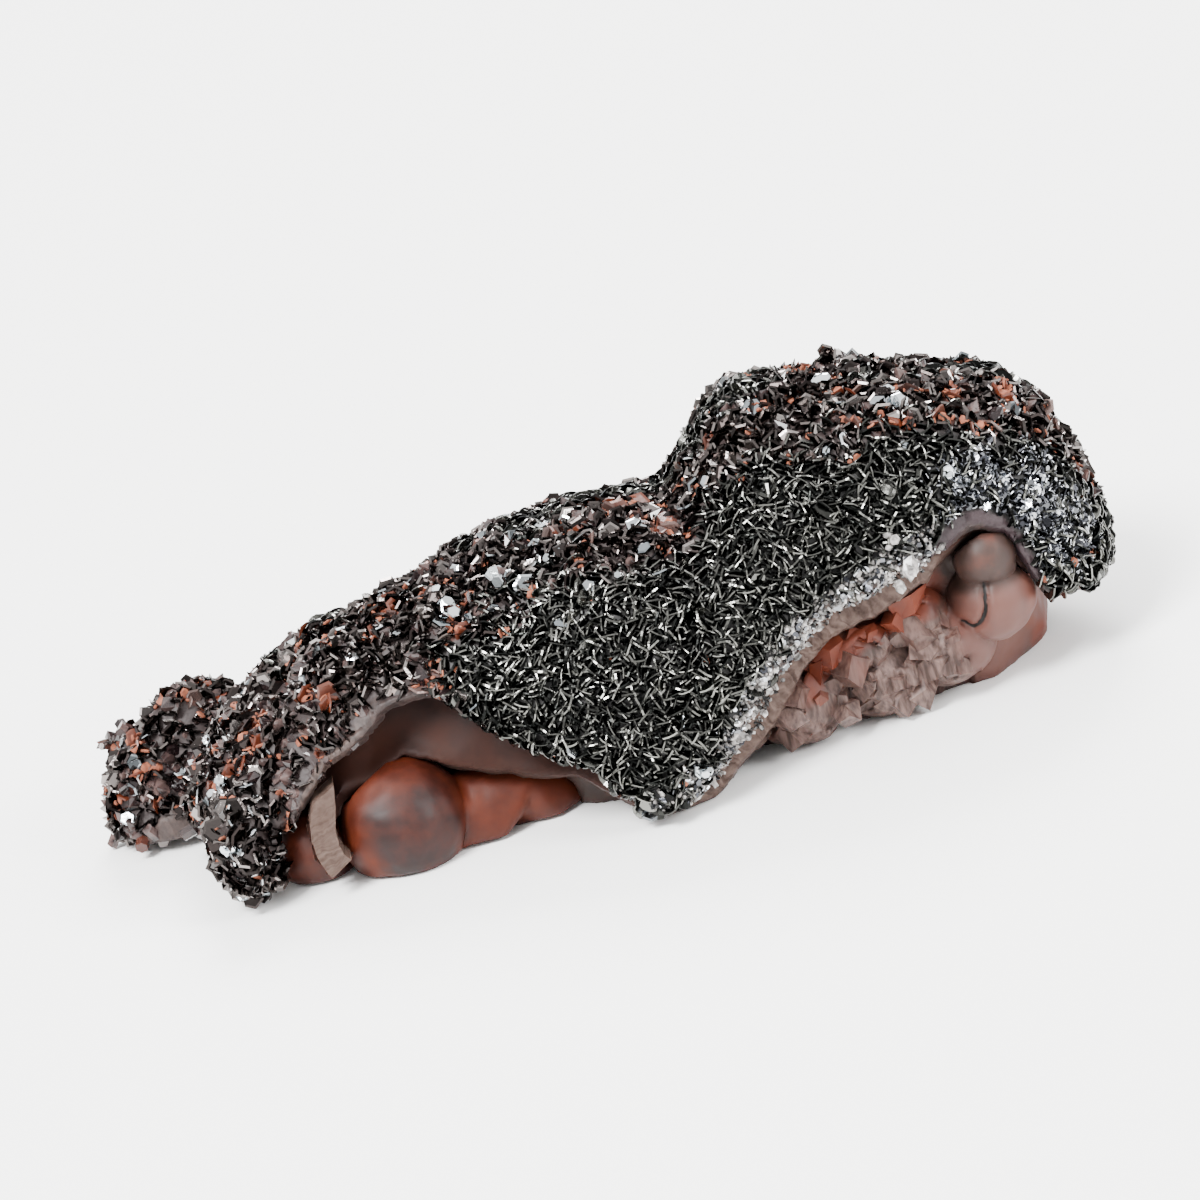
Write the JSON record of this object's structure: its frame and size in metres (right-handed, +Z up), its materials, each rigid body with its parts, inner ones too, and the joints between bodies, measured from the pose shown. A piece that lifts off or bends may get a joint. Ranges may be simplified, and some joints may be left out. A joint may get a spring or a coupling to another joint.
{
  "type": "specular hematite on matrix",
  "caption": "Hand specimen of specular hematite: a crust of glittering black plates over pale quartz, broken open over rounded orange and grey chalcedony.",
  "frame": {"origin": "on the resting surface, under the middle of the specimen's bounding box", "axes": "+X along the specimen, from the end with the back lobe and the hanging knob to the domed end; -Y towards the broken front with its two hollows; +Z up"},
  "size_m": [0.06, 0.026, 0.0187],
  "materials": {
    "specular_hematite": "druse of thin black metallic plates and blades with bright glints, with grey-brown quartz points and orange iron oxide spots",
    "quartz": "pale columnar quartz on its broken edges, smooth grey-brown chalcedony where it lines the hollow",
    "chalcedony": "waxy, slightly translucent, banded orange-red to grey"
  },
  "bodies": {
    "root": {"hematite_coat": "specular_hematite", "quartz_layer": "quartz", "chalcedony_nodule_left": "chalcedony", "chalcedony_matrix": "chalcedony"}
  },
  "joints": []
}
